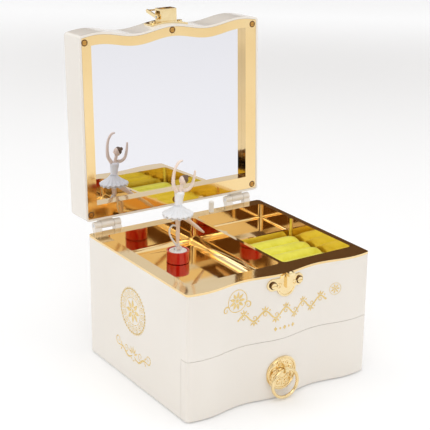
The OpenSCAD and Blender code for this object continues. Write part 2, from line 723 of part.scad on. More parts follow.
// Arm from the plunger to a pad over the fan's disc
module stop_arm() {
  dx = fan_x - plunger_x;
  dy = fan_y - plunger_y;
  color(steel) difference() {
    union() {
      zcyl(plunger_x, plunger_y, 63.5, 65, 2.7);
      translate([plunger_x, plunger_y, 63.5]) rotate([0, 0, atan2(dy, dx)])
        translate([0, -1, 0]) cube([norm([dx, dy]), 2, 1.5]);
      zcyl(fan_x, fan_y, 57.6, 64, 1);
    }
    zcyl(plunger_x, plunger_y, 60, 70, 2);
  }
}
// Return spring: a wire swept round a helix
module plunger_spring() {
  turns = 6;
  steps = turns * 18;
  sides = 6;
  r = 1.95;
  wire = 0.32;
  z0 = 50 + wire;
  z1 = 62 - wire;
  pts = [for (i = [0:steps], k = [0:sides - 1])
    let (a = 360 * turns * i / steps, b = 360 * k / sides, q = r + wire * cos(b))
    [q * cos(a), q * sin(a), z0 + (z1 - z0) * i / steps + wire * sin(b)]];
  faces = concat(
    [[for (k = [0:sides - 1]) k]],
    [for (i = [0:steps - 1], k = [0:sides - 1])
      [i * sides + k, (i + 1) * sides + k, (i + 1) * sides + (k + 1) % sides]],
    [for (i = [0:steps - 1], k = [0:sides - 1])
      [i * sides + k, (i + 1) * sides + (k + 1) % sides, i * sides + (k + 1) % sides]],
    [[for (k = [sides - 1:-1:0]) steps * sides + k]]);
  color(steel) translate([plunger_x, plunger_y, 0]) polyhedron(pts, faces, convexity = 8);
}

case_shell();
base_panel();
base_screws();
felt_feet();
drawer_deck();
drawer_runners();
tray();
ring_cushion();
catch_plate();
catch_screws();
hinge_blocks();
hinge_block_screws();
hinge_pins();
spindle_bush();
bedplate();
movement_screws();
front_plate();
plate_pillars();
comb_base();
comb();
comb_screws();
governor_bracket();
plunger_guide();
lid_shell();
lid_top();
lid_frame();
lid_mirror();
mirror_backing();
frame_screws();
hinge_leaves();
leaf_screws();
latch_plate();
latch_pin();
hasp_loop();
drawer_front();
drawer_box();
drawer_lining();
escutcheon();
pull_stud();
pull_ring();
dancer_base();
dancer_disc();
spindle();
crown_gear();
fold_pin();
dancer_foot();
dancer_figure();
dancer_skirt();
spring_barrel();
barrel_lid();
mainspring();
winding_arbor();
winding_key();
tune_cylinder();
cylinder_arbor();
governor_wheel();
fan_spindle();
stop_plunger();
stop_arm();
plunger_spring();
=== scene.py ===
"""Wind up music box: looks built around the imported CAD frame. Metres, +Z up, front towards -Y."""
import json
import math
import bmesh
import bpy
from mathutils import Matrix, Vector


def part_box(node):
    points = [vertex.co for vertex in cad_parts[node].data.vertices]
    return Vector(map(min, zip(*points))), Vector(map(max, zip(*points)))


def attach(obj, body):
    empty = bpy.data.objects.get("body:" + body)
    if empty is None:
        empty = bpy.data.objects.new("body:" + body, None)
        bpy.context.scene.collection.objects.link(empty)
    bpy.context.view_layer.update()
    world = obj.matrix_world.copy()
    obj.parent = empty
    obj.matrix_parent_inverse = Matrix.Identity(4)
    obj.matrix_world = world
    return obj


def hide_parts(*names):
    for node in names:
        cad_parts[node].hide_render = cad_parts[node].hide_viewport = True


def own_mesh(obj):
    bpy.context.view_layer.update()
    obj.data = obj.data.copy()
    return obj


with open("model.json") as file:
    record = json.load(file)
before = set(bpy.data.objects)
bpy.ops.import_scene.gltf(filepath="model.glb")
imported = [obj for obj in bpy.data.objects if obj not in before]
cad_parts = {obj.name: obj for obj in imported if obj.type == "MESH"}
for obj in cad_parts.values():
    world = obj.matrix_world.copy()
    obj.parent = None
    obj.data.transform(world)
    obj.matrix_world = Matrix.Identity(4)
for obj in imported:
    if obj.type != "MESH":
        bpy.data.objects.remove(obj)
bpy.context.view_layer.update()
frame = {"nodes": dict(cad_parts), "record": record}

NODES = frame["nodes"]
MM = 0.001
WELD_GAP = 0.00001     # points closer than this are one point


# ---------------------------------------------------------------- materials
def new_material(name):
    mat = bpy.data.materials.new(name)
    mat.use_nodes = True
    tree = mat.node_tree
    return mat, tree, tree.nodes["Principled BSDF"]


def object_noise(tree, scale, detail=3.0, stretch=None):
    """Noise texture in object space, stretched where grain runs one way."""
    coord = tree.nodes.new("ShaderNodeTexCoord")
    tex = tree.nodes.new("ShaderNodeTexNoise")
    tex.inputs["Scale"].default_value = scale
    tex.inputs["Detail"].default_value = detail
    source = coord.outputs["Object"]
    if stretch:
        mapping = tree.nodes.new("ShaderNodeMapping")
        mapping.inputs["Scale"].default_value = stretch
        tree.links.new(source, mapping.inputs["Vector"])
        source = mapping.outputs["Vector"]
    tree.links.new(source, tex.inputs["Vector"])
    return tex


def ramp(tree, source, low, high, start=0.3, end=0.7):
    node = tree.nodes.new("ShaderNodeValToRGB")
    node.color_ramp.elements[0].position = start
    node.color_ramp.elements[1].position = end
    node.color_ramp.elements[0].color = (*low, 1)
    node.color_ramp.elements[1].color = (*high, 1)
    tree.links.new(source, node.inputs["Fac"])
    return node


def grey(value):
    return (value, value, value)


def bump(tree, shader, source, strength, distance):
    node = tree.nodes.new("ShaderNodeBump")
    node.inputs["Strength"].default_value = strength
    node.inputs["Distance"].default_value = distance
    tree.links.new(source, node.inputs["Height"])
    tree.links.new(node.outputs["Normal"], shader.inputs["Normal"])


RIPPLE_DEPTH = 0.0001


def surface(name, low, high, rough, scale, metallic=0.0, ripple=0.05, stretch=None, coat=0.0, sheen=0.0,
            subsurface=0.0):
    """Finish with a slight colour drift, a roughness that varies and a fine surface ripple."""
    mat, tree, shader = new_material(name)
    drift = object_noise(tree, scale, stretch=stretch)
    colour = ramp(tree, drift.outputs["Fac"], low, high)
    tree.links.new(colour.outputs["Color"], shader.inputs["Base Color"])
    rub = object_noise(tree, scale * 4.3, detail=5.0, stretch=stretch)
    roughness = ramp(tree, rub.outputs["Fac"], grey(rough[0]), grey(rough[1]))
    tree.links.new(roughness.outputs["Color"], shader.inputs["Roughness"])
    shader.inputs["Metallic"].default_value = metallic
    shader.inputs["Coat Weight"].default_value = coat
    shader.inputs["Coat Roughness"].default_value = 0.06
    shader.inputs["Sheen Weight"].default_value = sheen
    if subsurface:
        shader.inputs["Subsurface Weight"].default_value = subsurface
        shader.inputs["Subsurface Radius"].default_value = (0.006, 0.005, 0.004)
        shader.inputs["Subsurface Scale"].default_value = 0.5
    grain = object_noise(tree, scale * 12, detail=4.0, stretch=stretch)
    bump(tree, shader, grain.outputs["Fac"], ripple, RIPPLE_DEPTH)
    return mat


THREADS = 620.0        # scale of the satin's thread waves, per metre


def satin_weave(name, low, high):
    """Satin: two fine crossed thread waves, a sheen and a soft colour drift."""
    mat, tree, shader = new_material(name)
    coord = tree.nodes.new("ShaderNodeTexCoord")
    drift = object_noise(tree, 90.0)
    colour = ramp(tree, drift.outputs["Fac"], low, high)
    tree.links.new(colour.outputs["Color"], shader.inputs["Base Color"])
    heights = []
    for axis in ("X", "Y"):
        wave = tree.nodes.new("ShaderNodeTexWave")
        wave.bands_direction = axis
        wave.inputs["Scale"].default_value = THREADS
        wave.inputs["Distortion"].default_value = 0.6
        tree.links.new(coord.outputs["Object"], wave.inputs["Vector"])
        heights.append(wave.outputs["Fac"])
    both = tree.nodes.new("ShaderNodeMath")
    both.operation = "MAXIMUM"
    for i, height in enumerate(heights):
        tree.links.new(height, both.inputs[i])
    bump(tree, shader, both.outputs["Value"], 0.25, RIPPLE_DEPTH)
    shader.inputs["Roughness"].default_value = 0.52
    shader.inputs["Sheen Weight"].default_value = 0.35
    shader.inputs["Sheen Roughness"].default_value = 0.4
    return mat


MATERIALS = {
    "ivory_plastic": surface("ivory_plastic", (0.83, 0.775, 0.70), (0.86, 0.81, 0.74), (0.20, 0.27), scale=14,
                             ripple=0.03, coat=0.35, subsurface=0.05),
    "gold_plastic": surface("gold_plastic", (0.88, 0.64, 0.31), (0.93, 0.71, 0.38), (0.05, 0.10), scale=25,
                            metallic=1.0, ripple=0.03),
    "gold_metal": surface("gold_metal", (0.86, 0.66, 0.34), (0.93, 0.76, 0.45), (0.12, 0.20), metallic=1.0,
                          scale=140, ripple=0.06),
    "gold_foil": surface("gold_foil", (0.72, 0.52, 0.20), (0.82, 0.63, 0.30), (0.22, 0.34), metallic=1.0,
                         scale=220, ripple=0.08),
    "felt": surface("felt", (0.16, 0.12, 0.10), (0.26, 0.20, 0.17), (0.85, 0.98), scale=300, ripple=0.5,
                    sheen=0.4),
    "cushion": satin_weave("cushion", (0.74, 0.68, 0.03), (0.86, 0.80, 0.07)),
    "backing": surface("backing", (0.22, 0.15, 0.10), (0.34, 0.25, 0.18), (0.7, 0.9), scale=200, ripple=0.3),
    "mirror": surface("mirror", (0.82, 0.82, 0.86), (0.84, 0.84, 0.88), (0.005, 0.015), metallic=1.0, scale=3,
                      ripple=0.0),
    "brass": surface("brass", (0.62, 0.44, 0.17), (0.74, 0.55, 0.25), (0.22, 0.38), metallic=1.0, scale=80,
                     stretch=(1, 12, 1)),
    "screw_amber": surface("screw_amber", (0.50, 0.25, 0.06), (0.62, 0.34, 0.09), (0.24, 0.34), metallic=1.0,
                           scale=120),
    # Dark brown painted shade for the rings laid round the screw heads, where the gap round each head is in
    # shade
    "painted_screw_shade": surface("painted_screw_shade", (0.12, 0.055, 0.02), (0.20, 0.10, 0.035), (0.30, 0.42), metallic=0.7,
                          scale=120),
    "steel": surface("steel", (0.52, 0.53, 0.55), (0.66, 0.67, 0.69), (0.2, 0.34), metallic=1.0, scale=120,
                     stretch=(1, 1, 10)),
    "cast": surface("cast", (0.14, 0.14, 0.15), (0.22, 0.22, 0.23), (0.5, 0.7), metallic=0.8, scale=260,
                    ripple=0.4),
    "nylon": surface("nylon", (0.76, 0.74, 0.66), (0.82, 0.80, 0.74), (0.4, 0.5), scale=40),
    "red_plastic": surface("red_plastic", (0.55, 0.008, 0.008), (0.64, 0.02, 0.015), (0.10, 0.16), scale=40,
                           coat=0.6),
    "white_plastic": surface("white_plastic", (0.84, 0.83, 0.81), (0.88, 0.87, 0.85), (0.24, 0.32), scale=40,
                             coat=0.2),
    "skin_plastic": surface("skin_plastic", (0.86, 0.69, 0.58), (0.89, 0.75, 0.66), (0.35, 0.45), scale=90,
                            subsurface=0.15),
    "skirt": surface("skirt", (0.86, 0.86, 0.87), (0.92, 0.92, 0.93), (0.4, 0.55), scale=90, ripple=0.2,
                     sheen=0.3, subsurface=0.2),
    "hair": surface("hair", (0.10, 0.055, 0.03), (0.20, 0.11, 0.06), (0.4, 0.55), scale=500,
                    stretch=(1, 1, 6), ripple=0.4),
}


def paint(obj, slot):
    obj.data.materials.clear()
    obj.data.materials.append(MATERIALS[slot])


# ---------------------------------------------------------------- CAD nodes
SOFT_EDGE = {"case_shell": 0.5, "lid_shell": 0.45, "drawer_front": 0.5, "tray": 0.45, "lid_frame": 0.35,
             "drawer_box": 0.4, "hinge_blocks": 0.4, "hinge_leaves": 0.4, "dancer_base": 0.25,
             "catch_plate": 0.22, "latch_plate": 0.22, "hasp_loop": 0.2, "winding_key": 0.35,
             "pull_stud": 0.15, "mirror_backing": 0.2}
SMOOTH_ANGLE = math.radians(32)


def finish_node(node, obj, slot):
    """Material, welded and eased edges, smooth shading over the fine facets of curves."""
    paint(obj, slot)
    weld = obj.modifiers.new("weld", "WELD")
    weld.merge_threshold = WELD_GAP
    if node in SOFT_EDGE:
        ease = obj.modifiers.new("ease", "BEVEL")
        ease.width = SOFT_EDGE[node] * MM
        ease.segments = 2
        ease.limit_method = "ANGLE"
        ease.angle_limit = SMOOTH_ANGLE
        ease.harden_normals = False
    for poly in obj.data.polygons:
        poly.use_smooth = True
    smooth_by_angle(obj)


def smooth_by_angle(obj):
    """Splits the shading at corners sharper than the smooth angle."""
    split = obj.modifiers.new("corners", "EDGE_SPLIT")
    split.split_angle = SMOOTH_ANGLE
    weigh = obj.modifiers.new("weigh", "WEIGHTED_NORMAL")
    weigh.keep_sharp = True


SLOT_OF = {s["node"]: s["material_slot"] for s in frame["record"]["subparts"]}
LOOK_OF = {"frame_screws": "screw_amber"}
for node_name, node_obj in NODES.items():
    finish_node(node_name, node_obj, LOOK_OF.get(node_name, SLOT_OF[node_name]))


# ---------------------------------------------------------------- helpers for new pieces
def mesh_object(name, verts, faces, slot, body, smooth=True):
    mesh = bpy.data.meshes.new(name)
    mesh.from_pydata([tuple(v) for v in verts], [], faces)
    mesh.validate()
    bm = bmesh.new()
    bm.from_mesh(mesh)
    bmesh.ops.recalc_face_normals(bm, faces=bm.faces)
    bm.to_mesh(mesh)
    bm.free()
    obj = bpy.data.objects.new(name, mesh)
    bpy.context.scene.collection.objects.link(obj)
    for poly in mesh.polygons:
        poly.use_smooth = smooth
    paint(obj, slot)
    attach(obj, body)
    return obj


def tube(points, radii, sides=16):
    """Verts and faces of a round tube through the points, closed at both ends."""
    verts, faces = [], []
    count = len(points)
    side = None
    for i, point in enumerate(points):
        ahead = points[min(i + 1, count - 1)] - points[max(i - 1, 0)]
        ahead.normalize()
        if side is None:
            side = ahead.orthogonal().normalized()
        side = (side - ahead * side.dot(ahead)).normalized()
        up = ahead.cross(side)
        for k in range(sides):
            a = 2 * math.pi * k / sides
            verts.append(point + radii[i] * (math.cos(a) * side + math.sin(a) * up))
    for i in range(count - 1):
        for k in range(sides):
            nxt = (k + 1) % sides
            faces.append((i * sides + k, i * sides + nxt, (i + 1) * sides + nxt, (i + 1) * sides + k))
    faces.append(tuple(range(sides))[::-1])
    faces.append(tuple((count - 1) * sides + k for k in range(sides)))
    return verts, faces


def bezier_path(points, per_span=6):
    """Smooth curve through the points (Catmull-Rom)."""
    pts = [points[0]] + list(points) + [points[-1]]
    out = []
    for i in range(1, len(pts) - 2):
        p0, p1, p2, p3 = pts[i - 1], pts[i], pts[i + 1], pts[i + 2]
        for k in range(per_span):
            t = k / per_span
            out.append(0.5 * ((2 * p1) + (p2 - p0) * t + (2 * p0 - 5 * p1 + 4 * p2 - p3) * t * t
                              + (3 * p1 - p0 - 3 * p2 + p3) * t ** 3))
    out.append(points[-1].copy())
    return out


def spread(values, per_span=6):
    """Values stretched over the points that bezier_path makes."""
    out = []
    for a, b in zip(values, values[1:]):
        out += [a + (b - a) * k / per_span for k in range(per_span)]
    return out + [values[-1]]


def merge(parts):
    verts, faces = [], []
    for part_verts, part_faces in parts:
        base = len(verts)
        verts += part_verts
        faces += [tuple(i + base for i in f) for f in part_faces]
    return verts, faces


# ---------------------------------------------------------------- front line of the case
CASE_LO, CASE_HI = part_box("case_shell")
HALF_W = (CASE_HI[0] - CASE_LO[0]) / 2
HALF_D = CASE_HI[1]
WAVE = -CASE_LO[1] - HALF_D


def front_y(x):
    """Depth of the wavy front at x: five half waves across the width."""
    return -HALF_D - WAVE * math.sin(5 * math.pi * (x + HALF_W) / (2 * HALF_W))


# ---------------------------------------------------------------- gold foil ornament
FOIL = 0.00012         # how far the foil stands off the wavy front
SIDE_FOIL_SHARE = 0.25


def ribbon(points, widths):
    """Flat strip along 2D points, each with its own half width."""
    left, right = [], []
    for i, p in enumerate(points):
        a, b = points[max(i - 1, 0)], points[min(i + 1, len(points) - 1)]
        run = Vector((b[0] - a[0], b[1] - a[1]))
        if run.length == 0:
            continue
        run.normalize()
        across = Vector((-run.y, run.x)) * widths[i]
        left.append((p[0] + across.x, p[1] + across.y))
        right.append((p[0] - across.x, p[1] - across.y))
    n = len(left)
    return left + right, [(i, i + 1, n + i + 1, n + i) for i in range(n - 1)]


def disc(cx, cz, r, sides=20, squash=1.0):
    pts = [(cx, cz)]
    for i in range(sides):
        a = 2 * math.pi * i / sides
        pts.append((cx + r * math.cos(a), cz + r * squash * math.sin(a)))
    return pts, [(0, 1 + i, 1 + (i + 1) % sides) for i in range(sides)]


def ring_2d(cx, cz, r, width, sides=64):
    pts = [(cx + r * math.cos(2 * math.pi * i / sides), cz + r * math.sin(2 * math.pi * i / sides))
           for i in range(sides + 1)]
    return ribbon(pts, [width / 2] * len(pts))


def curl(cx, cz, r, turns, start, width, steps=34):
    """Spiral flourish that thins towards its middle."""
    pts, widths = [], []
    for i in range(steps + 1):
        t = i / steps
        a = start + turns * 2 * math.pi * t
        rr = r * (1 - 0.86 * t)
        pts.append((cx + rr * math.cos(a), cz + rr * math.sin(a)))
        widths.append(width * (1 - 0.6 * t))
    return ribbon(pts, widths)


def leaf(cx, cz, length, turn, fat=0.34, gap=0.0):
    """Pointed leaf, its foot a gap away from the point so that flat shapes don't lie over one another."""
    steps = 10
    cx, cz = cx + gap * math.cos(turn), cz + gap * math.sin(turn)
    pts = [(cx + length * (i / steps) * math.cos(turn), cz + length * (i / steps) * math.sin(turn))
           for i in range(steps + 1)]
    widths = [length * fat / 2 * math.sin(math.pi * min(1, (i / steps) ** 0.8)) + 1e-6
              for i in range(steps + 1)]
    return ribbon(pts, widths)


def foil(name, shapes, place, body):
    """Foil shapes drawn flat, mapped onto a face by place(u, v, height) and given a thin edge."""
    flat, faces = merge(shapes)
    n = len(flat)
    verts = [Vector(place(u, v, FOIL)) for u, v in flat] + [Vector(place(u, v, -FOIL / 4)) for u, v in flat]
    count = {}
    for f in faces:
        for a, b in zip(f, f[1:] + f[:1]):
            count[(a, b)] = count.get((a, b), 0) + 1
    walls = [(a, b, b + n, a + n) for (a, b) in count if (b, a) not in count]
    under = [tuple(i + n for i in f[::-1]) for f in faces]
    obj = mesh_object(name, verts, [tuple(f) for f in faces] + under + walls, "gold_foil", body, smooth=False)
    return obj


def on_front(x, z, height):
    return (x, front_y(x) - height, z)


def on_side(y, z, height):
    """The left side; the drawing's first axis runs towards the front. A flat wall takes a thinner foil."""
    return (-HALF_W - height * SIDE_FOIL_SHARE, -y, z)


def vine_band():
    """Leafy band with a wavy stem and berries, across the upper front."""
    x0, x1, mid, rise = -0.0335, 0.0384, 0.0640, 0.0030
    shapes = []
    steps = 90
    waves = 4.5
    stem = []
    for i in range(steps + 1):
        t = i / steps
        stem.append((x0 + (x1 - x0) * t, mid + rise * math.sin(2 * math.pi * waves * t)))
    shapes.append(ribbon(stem, [0.00055] * len(stem)))
    for k in range(int(waves * 2)):
        t = (k + 0.5) / (waves * 2)
        x = x0 + (x1 - x0) * t
        side = 1 if k % 2 == 0 else -1
        top = mid + side * rise
        shapes.append(curl(x + 0.0004, top - side * 0.0022, 0.0020, 1.1, side * math.pi / 2, 0.00036))
        for spin in (-0.75, 0.0, 0.75):
            shapes.append(leaf(x, top, 0.0030, side * (math.pi / 2) + spin, 0.38, 0.0008))
        shapes.append(disc(x + 0.0034, mid + side * 0.0034, 0.0006, 12))
    for x in (x0 - 0.0004, x1 + 0.0004):
        shapes.append(disc(x, mid, 0.0008, 14))
    return shapes


def small_row():
    """Row of small lozenges and dots under the band."""
    shapes = []
    for k in range(5):
        x = -0.0055 + 0.0037 * k
        shapes.append(disc(x, 0.0525, 0.0013 if k % 2 == 0 else 0.0007, 4 if k % 2 == 0 else 12, squash=1.25))
    return shapes


def rosette(cx, cz, r, petals):
    shapes = [ring_2d(cx, cz, r, r * 0.07), disc(cx, cz, r * 0.17)]
    for k in range(petals):
        a = 2 * math.pi * k / petals
        shapes.append(leaf(cx + r * 0.22 * math.cos(a), cz + r * 0.22 * math.sin(a), r * 0.62, a, 0.42))
    return shapes


def medallion(cx, cz, r):
    """Round medallion: rope edge, two rings, a bead circle and a flower."""
    shapes = [ring_2d(cx, cz, r * 0.955, r * 0.05), ring_2d(cx, cz, r * 0.60, r * 0.035)]
    for k in range(44):
        a = 2 * math.pi * k / 44
        shapes.append(disc(cx + r * math.cos(a), cz + r * math.sin(a), r * 0.045, 8))
    for k in range(16):
        a = 2 * math.pi * k / 16
        bead_x, bead_z = cx + r * 0.78 * math.cos(a), cz + r * 0.78 * math.sin(a)
        shapes.append(ring_2d(bead_x, bead_z, r * 0.105, r * 0.035, 20))
        shapes.append(disc(bead_x, bead_z, r * 0.04, 10))
    for k in range(8):
        a = 2 * math.pi * k / 8
        shapes.append(leaf(cx + r * 0.12 * math.cos(a), cz + r * 0.12 * math.sin(a), r * 0.42, a, 0.42))
    shapes.append(disc(cx, cz, r * 0.09))
    return shapes


def flourish():
    """Mirrored scroll with a fan of leaves at its middle, low on the left side."""
    cx, cz = -0.0035, 0.0215
    fan = (-1.1, -0.55, 0.0, 0.55, 1.1)
    shapes = [leaf(cx, cz, 0.0054, math.pi / 2 + spin, 0.27, 0.0016) for spin in fan]
    shapes += [disc(cx + 0.0024 * k, cz - 0.0030 - 0.0010 * (k == 0), 0.0007, 14) for k in (-1, 0, 1)]
    for s in (-1, 1):
        stem = bezier_path([Vector((cx + s * u, cz + v, 0)) for u, v in
                            ((0.0010, -0.0006), (0.0075, -0.0028), (0.0140, 0.0014), (0.0205, 0.0010))], 8)
        widths = [0.00030 + 0.00050 * math.sin(math.pi * i / (len(stem) - 1)) for i in range(len(stem))]
        shapes.append(ribbon([(p.x, p.y) for p in stem], widths))
        shapes.append(curl(cx + s * 0.0205, cz + 0.0048, 0.0038, s * 1.15, -math.pi / 2, 0.0005))
        shapes.append(curl(cx + s * 0.0098, cz + 0.0026, 0.0030, -s * 1.15, -math.pi / 2, 0.0004))
        for turn in (math.pi / 2 - s * 0.7, -math.pi / 2 + s * 0.7):
            shapes.append(leaf(cx + s * 0.0148, cz + 0.0014, 0.0036, turn, gap=0.0012))
    return shapes


foil("ornament_band", vine_band(), on_front, "case")
foil("ornament_row", small_row(), on_front, "case")
foil("ornament_spray", rosette(-0.0350, 0.0785, 0.0078, 9)
     + [curl(-0.0445, 0.0740, 0.0030, 1.1, 0.4, 0.0005), curl(-0.0262, 0.0740, 0.0030, -1.1, 2.7, 0.0005)],
     on_front, "case")
foil("ornament_rosette", rosette(0.0459, 0.0702, 0.0043, 7), on_front, "case")
foil("ornament_medallion", medallion(-0.0032, 0.0551, 0.0168), on_side, "case")
foil("ornament_flourish", flourish(), on_side, "case")


# ---------------------------------------------------------------- cast relief of the pull and the catch
RELIEF = 0.00125       # how far the strokes' middle lines stand off the wavy front


def relief(name, shapes, body):
    """Raised rounded strokes on a cast plate, stood on the wavy front."""
    parts = []
    for points, radius in shapes:
        path = [Vector((x, front_y(x) - RELIEF, z)) for x, z in points]
        swell = [radius * (0.55 + 0.45 * math.sin(math.pi * i / (len(path) - 1))) for i in range(len(path))]
        parts.append(tube(path, swell, 10))
    verts, faces = merge(parts)
    obj = mesh_object(name, verts, faces, "gold_metal", body)


def spiral_points(cx, cz, r, turns, start, steps=22):
    return [(cx + r * (1 - 0.8 * i / steps) * math.cos(start + turns * 2 * math.pi * i / steps),
             cz + r * (1 - 0.8 * i / steps) * math.sin(start + turns * 2 * math.pi * i / steps))
            for i in range(steps + 1)]


def arc_points(cx, cz, r, a0, a1, steps=16):
    return [(cx + r * math.cos(a0 + (a1 - a0) * i / steps), cz + r * math.sin(a0 + (a1 - a0) * i / steps))
            for i in range(steps + 1)]


plate_lo, plate_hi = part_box("escutcheon")
plate_x = (plate_lo[0] + plate_hi[0]) / 2
plate_z = (plate_lo[2] + plate_hi[2]) / 2
plate_r = (plate_hi[2] - plate_lo[2]) / 2
strokes = [(arc_points(plate_x, plate_z, plate_r * 0.9, 0, 2 * math.pi, 60), 0.0008)]
for k in range(8):
    a = math.pi / 8 + 2 * math.pi * k / 8
    curl_x, curl_z = plate_x + plate_r * 0.60 * math.cos(a), plate_z + plate_r * 0.60 * math.sin(a)
    lead = 1.2 if k % 2 else -1.2
    strokes.append((spiral_points(curl_x, curl_z, plate_r * 0.22, 1.1, a + lead), 0.00065))
strokes.append((arc_points(plate_x, plate_z, plate_r * 0.32, 0, 2 * math.pi, 36), 0.0007))
relief("pull_relief", strokes, "drawer")

catch_lo, catch_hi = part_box("catch_plate")
catch_x = (catch_lo[0] + catch_hi[0]) / 2
catch_strokes = [
    (arc_points(catch_x, 0.0835, 0.0068, math.radians(205), math.radians(335)), 0.0005),
    (spiral_points(catch_x - 0.0062, 0.0838, 0.0021, 1.0, 0.6), 0.0005),
    (spiral_points(catch_x + 0.0066, 0.0838, 0.0021, -1.0, 2.5), 0.0005),
]
relief("catch_relief", catch_strokes, "case")


# ---------------------------------------------------------------- ring cushion
CUSHION_ROLLS = 5
CUSHION_RISE = 0.0034  # how far the soft rolls stand above the plain CAD form, as seen
CLOTH_SCALE = 8.0      # the cloth solver behaves best at the size of a real cushion
CLOTH_FRAMES = 20
CLOTH_PRESSURE = 4.0
CLOTH_CAP = 0.0005     # furthest a point of the satin may puff, in metres


def cushion_form(lo, hi):
    """Slack foam rolls, each crowned along its length and tucked into the next.

    Returns the vertices, the faces and, for each vertex, 1 where the cloth is sewn down and 0 where free."""
    cols, rows_each = 56, 14
    rows = rows_each * CUSHION_ROLLS
    length, depth, height = (hi[i] - lo[i] for i in range(3))
    height += CUSHION_RISE
    verts, faces, held = [], [], []
    for j in range(rows + 1):
        v = j / rows
        across = (j % rows_each) / rows_each * 2 - 1 if j < rows else 1
        crown = math.sqrt(max(0.0, 1 - across ** 2))
        for i in range(cols + 1):
            along = i / cols * 2 - 1
            end = math.sqrt(max(0.0, 1 - abs(along) ** 10))
            dip = height * (0.34 + 0.56 * crown * (0.45 + 0.55 * end))
            verts.append(Vector((lo[0] + length * (0.01 + 0.98 * i / cols), lo[1] + depth * (0.01 + 0.98 * v),
                                 lo[2] + dip)))
            held.append(1.0 if crown < 0.2 or i in (0, cols) else 0.0)
    wide, top = cols + 1, (cols + 1) * (rows + 1)
    quads = [(j * wide + i, j * wide + i + 1, (j + 1) * wide + i + 1, (j + 1) * wide + i)
             for j in range(rows) for i in range(cols)]
    faces += quads + [tuple(i + top for i in reversed(q)) for q in quads]
    verts += [Vector((v.x, v.y, lo[2])) for v in verts[:top]]
    held += [1.0] * top
    rim = list(range(wide)) + [j * wide + cols for j in range(1, rows + 1)]
    rim += [rows * wide + i for i in range(cols - 1, -1, -1)] + [j * wide for j in range(rows - 1, 0, -1)]
    faces += [(a, b, b + top, a + top) for a, b in zip(rim, rim[1:] + rim[:1])]
    return verts, faces, held


def puff(obj, held):
    """Blows the free cloth up off its seams, then keeps each point within the cap of where it began."""
    start = [v.co.copy() for v in obj.data.vertices]
    for v in obj.data.vertices:
        v.co *= CLOTH_SCALE
    pins = obj.vertex_groups.new(name="sewn")
    pins.add([i for i, h in enumerate(held) if h], 1.0, "REPLACE")
    cloth = obj.modifiers.new("cloth", "CLOTH")
    cloth.settings.quality = 6
    cloth.settings.vertex_group_mass = "sewn"
    cloth.settings.use_pressure = True
    cloth.settings.uniform_pressure_force = CLOTH_PRESSURE
    cloth.settings.shrink_min = -0.10
    cloth.settings.effector_weights.gravity = 0
    cloth.point_cache.frame_start, cloth.point_cache.frame_end = 1, CLOTH_FRAMES
    for f in range(1, CLOTH_FRAMES + 1):
        bpy.context.scene.frame_set(f)
    shape = obj.evaluated_get(bpy.context.evaluated_depsgraph_get()).to_mesh()
    moved = [v.co / CLOTH_SCALE for v in shape.vertices]
    obj.modifiers.remove(cloth)
    obj.vertex_groups.clear()
    bpy.context.scene.frame_set(1)
    for v, began, ended in zip(obj.data.vertices, start, moved):
        step = ended - began
        if step.length > CLOTH_CAP:
            step = step.normalized() * CLOTH_CAP
        v.co = began + step


cushion_lo, cushion_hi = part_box("ring_cushion")
verts, faces, held = cushion_form(cushion_lo, cushion_hi)
cushion = mesh_object("cushion_rolls", verts, faces, "cushion", "case")
puff(cushion, held)
fine = cushion.modifiers.new("fine", "SUBSURF")
fine.levels = fine.render_levels = 1
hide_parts("ring_cushion")


# ---------------------------------------------------------------- return spring of the stop plunger
def return_spring():
    """Wire coil between the guide's ledge and the plunger's shoulder."""
    lo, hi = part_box("plunger_spring")
    wire, turns, travel = 0.00032, 6, 0.0085
    r = (hi[0] - lo[0]) / 2 - wire
    steps = turns * 24
    path = [Vector(((lo[0] + hi[0]) / 2 + r * math.cos(2 * math.pi * turns * i / steps),
                    (lo[1] + hi[1]) / 2 + r * math.sin(2 * math.pi * turns * i / steps),
                    lo[2] + wire + (hi[2] - lo[2] - 2 * wire) * i / steps)) for i in range(steps + 1)]
    verts, faces = tube(path, [wire] * len(path), 8)
    obj = mesh_object("return_spring", verts, faces, "steel", "case")
    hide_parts("plunger_spring")
    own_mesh(obj)


return_spring()


# ---------------------------------------------------------------- dancer
def mm(x, y, z):
    return Vector((x * MM, y * MM, z * MM))


def mms(*values):
    return [v * MM for v in values]


def limb(points, radii, sides=16):
    return tube(bezier_path([Vector(p) for p in points]), spread(radii), sides)


def ball(centre, radii, rings=14, sides=20):
    verts, faces = [], []
    for i in range(rings + 1):
        b = math.pi * i / rings
        for k in range(sides):
            a = 2 * math.pi * k / sides
            verts.append(centre + Vector((radii[0] * math.sin(b) * math.cos(a),
                                          radii[1] * math.sin(b) * math.sin(a), radii[2] * math.cos(b))))
    for i in range(rings):
        for k in range(sides):
            nxt = (k + 1) % sides
            faces.append((i * sides + k, (i + 1) * sides + k, (i + 1) * sides + nxt, i * sides + nxt))
    return verts, faces


# The turning axis, in millimetres; she is drawn round it in millimetres
DX = (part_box("dancer_foot")[0][0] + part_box("dancer_foot")[1][0]) / 2 / MM
DY = (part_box("dancer_foot")[0][1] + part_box("dancer_foot")[1][1]) / 2 / MM

